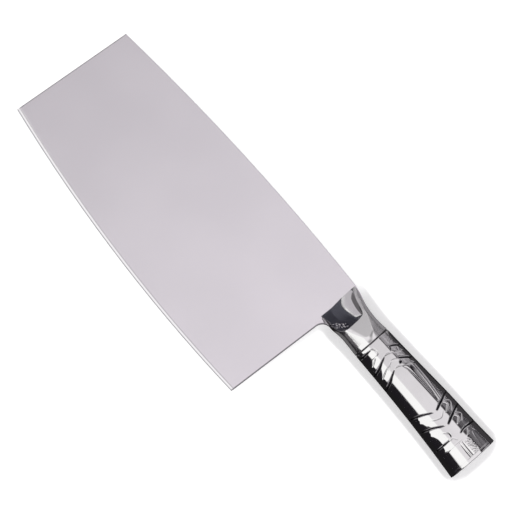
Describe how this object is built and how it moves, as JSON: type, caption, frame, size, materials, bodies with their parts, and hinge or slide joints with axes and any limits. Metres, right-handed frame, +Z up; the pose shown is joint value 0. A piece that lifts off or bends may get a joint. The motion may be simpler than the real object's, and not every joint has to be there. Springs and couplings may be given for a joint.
{
  "type": "chinese cleaver",
  "caption": "All-steel Chinese kitchen cleaver: wide flat-ground blade, scooped neck and hollow flaring grip with leaf relief, lying on its side.",
  "frame": {"origin": "middle of the footprint, on the table that the knife lies on", "axes": "+X from the tip along the grip towards the butt, +Y towards the spine, +Z up: the knife lies on its right side and the blade slopes down about 2 degrees from the neck to the front end"},
  "size_m": [0.3296, 0.0976, 0.0248],
  "materials": {
    "blade_steel": "fine satin grind, faint scratches from spine to edge",
    "polished_steel": "mirror buffed cast and pressed stainless steel",
    "weld_bead": "unpolished weld metal, rough and slightly dark"
  },
  "bodies": {
    "root": {"blade": "blade_steel", "bolster": "polished_steel", "shoulder_weld": "polished_steel", "heel_welds": "weld_bead", "neck_weld": "weld_bead", "grip_shell_left": "polished_steel", "grip_shell_right": "polished_steel", "seam_weld_spine": "polished_steel", "seam_weld_edge": "polished_steel", "butt_weld": "polished_steel", "butt_cap": "polished_steel"}
  },
  "joints": []
}
